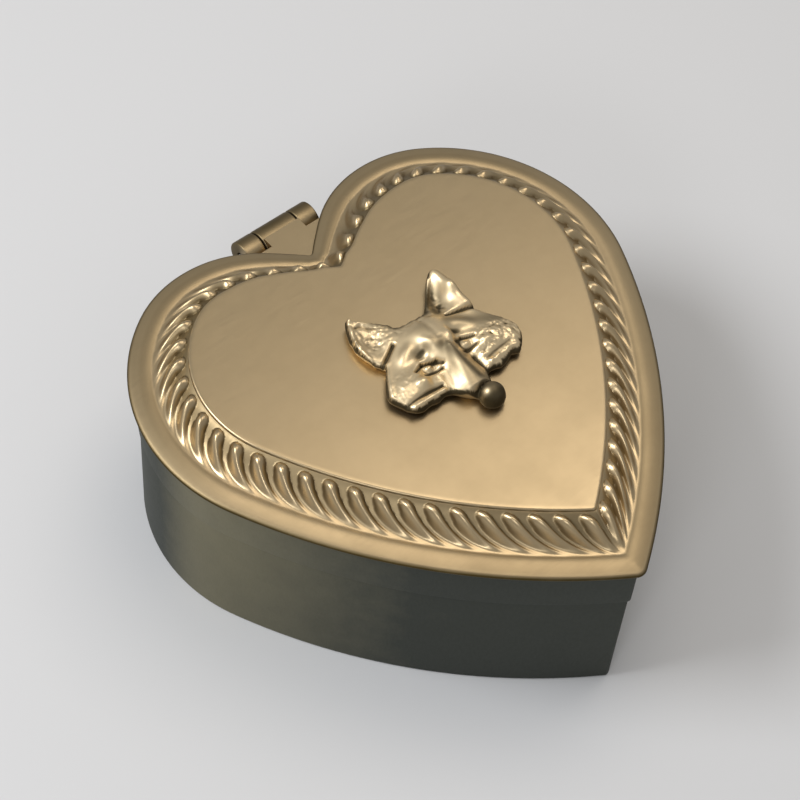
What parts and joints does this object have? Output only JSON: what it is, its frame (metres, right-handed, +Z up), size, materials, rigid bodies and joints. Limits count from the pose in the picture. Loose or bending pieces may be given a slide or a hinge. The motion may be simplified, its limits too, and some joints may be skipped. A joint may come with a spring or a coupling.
{
  "type": "heart-shaped keepsake box",
  "caption": "Heart-shaped pewter keepsake box with a hinged lid, a gadrooned border and a cast fox mask on the panel, lined inside.",
  "frame": {"origin": "on the underside, at the middle of the box's overall width and length", "axes": "+Z up through the lid, -Y towards the tip of the heart, +Y towards the cleft and the hinge, +X to the right seen from the tip"},
  "size_m": [0.09, 0.0922, 0.0443],
  "materials": {
    "pewter_top": "satin pewter with a warm golden cast, soft patina in the hollows",
    "pewter_side": "satin pewter, darker on the upright walls",
    "cast_pewter": "cast and polished pewter, bright on the high points and dark in the recesses",
    "pin_steel": "plain steel wire",
    "lining": "dark blue velvet",
    "base_felt": "dark felt"
  },
  "bodies": {
    "box_body": {"body_wall": "pewter_side", "base_plate": "pewter_side", "locating_bezel": "pewter_top", "body_bearer": "pewter_side", "body_knuckle_left": "pewter_top", "body_knuckle_right": "pewter_top", "hinge_pin": "pin_steel", "floor_lining": "lining", "wall_lining": "lining", "base_felt": "base_felt"},
    "lid": {"lid_top": "pewter_top", "lid_skirt": "pewter_side", "lid_bearer": "pewter_top", "lid_knuckle": "pewter_top", "fox_mask": "cast_pewter", "mask_stud_left": "cast_pewter", "mask_stud_right": "cast_pewter", "lid_lining": "lining"}
  },
  "joints": [
    {"name": "lid_hinge", "type": "hinge", "parent": "box_body", "child": "lid", "pos_m": [0, 0.04323, 0.0299], "axis": [-1, 0, 0], "range_deg": [0, 100]}
  ]
}
